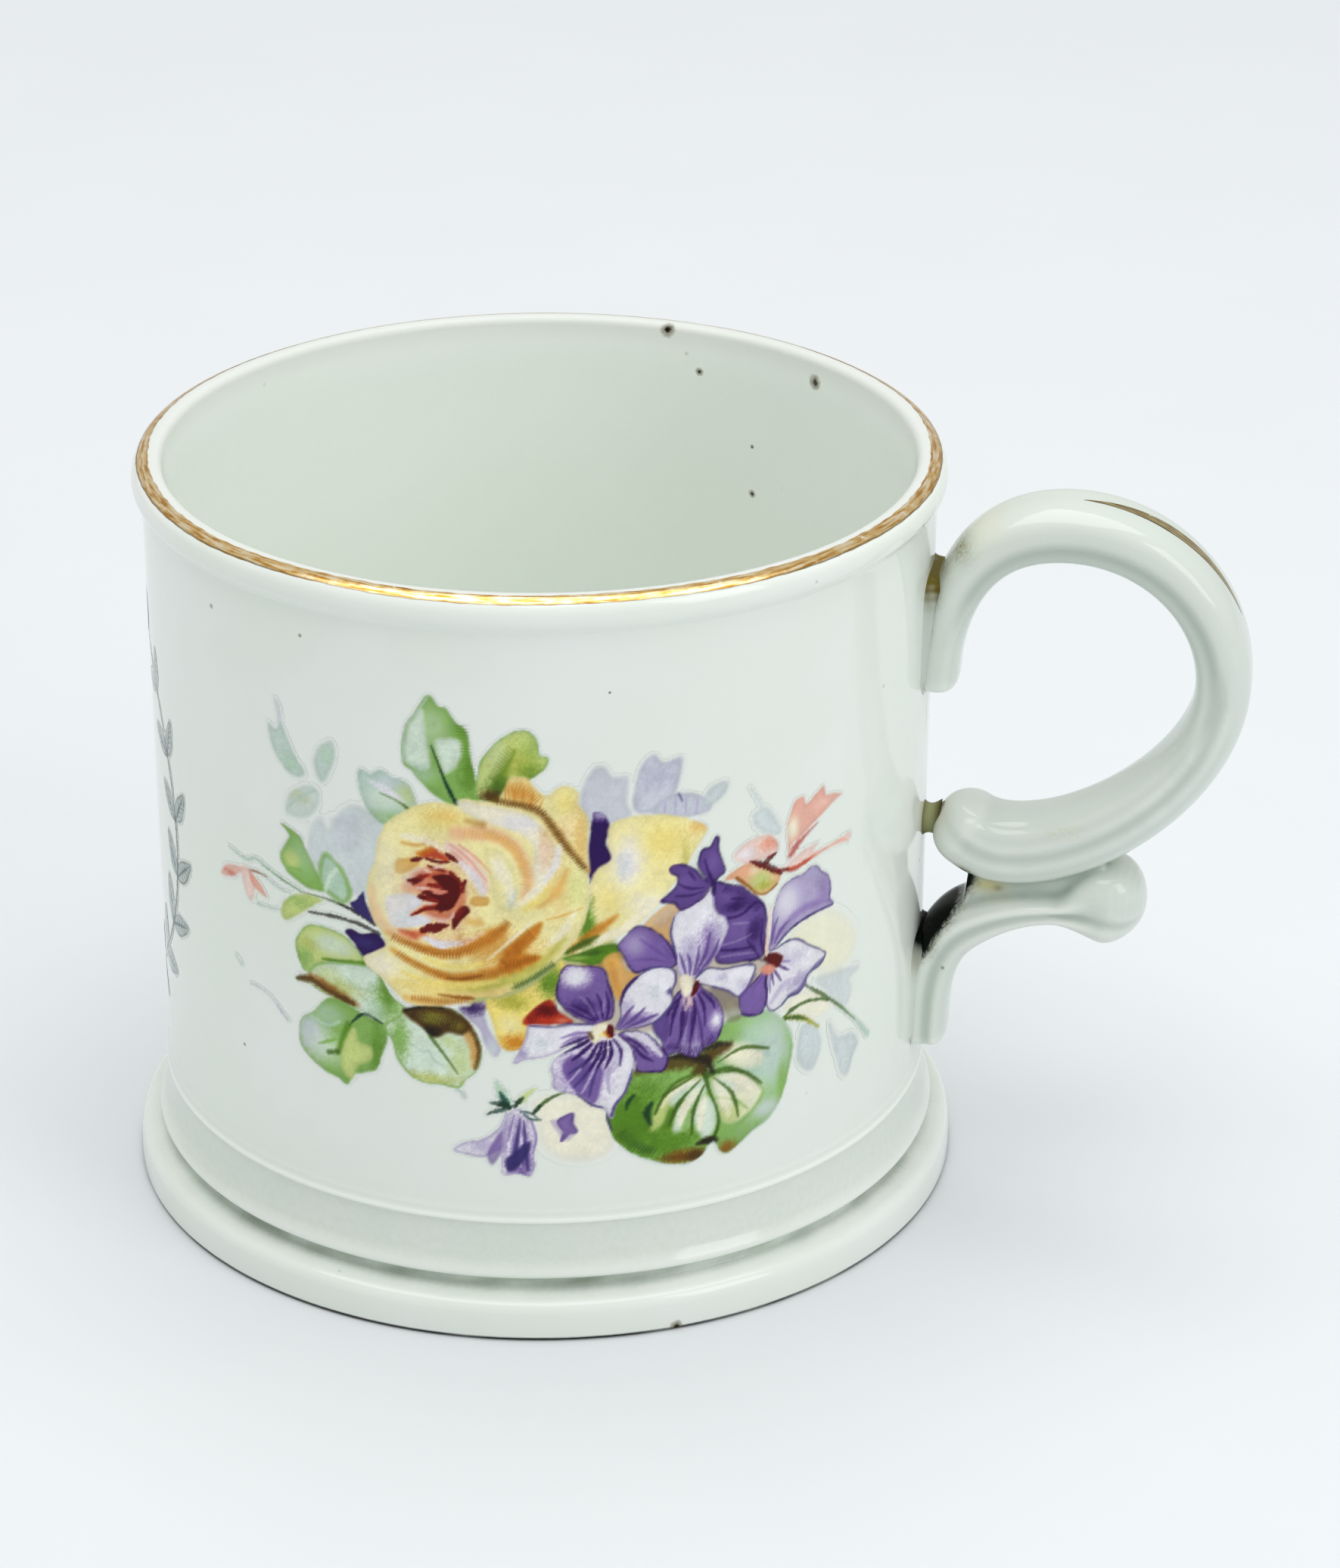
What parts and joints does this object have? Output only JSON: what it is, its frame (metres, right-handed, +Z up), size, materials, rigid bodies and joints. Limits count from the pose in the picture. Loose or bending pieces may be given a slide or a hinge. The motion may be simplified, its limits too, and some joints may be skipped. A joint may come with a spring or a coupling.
{
  "type": "porcelain mug",
  "caption": "Straight-sided glazed porcelain mug on a moulded foot, with a rolled lip and a scrolled handle that curls back under itself to a knob.",
  "frame": {"origin": "middle of the footprint of mug and handle, at the level of the foot rim", "axes": "+X towards the handle, +Z up; the axis of the wall is vertical and lies 15.8 mm to -X of the origin"},
  "size_m": [0.1248, 0.0932, 0.085],
  "materials": {
    "glaze": "gloss",
    "slip": "satin"
  },
  "bodies": {
    "root": {"body": "glaze", "handle": "glaze", "upper_slip_joint": "slip", "scroll_slip_joint": "slip", "lower_slip_joint": "slip"}
  },
  "joints": []
}
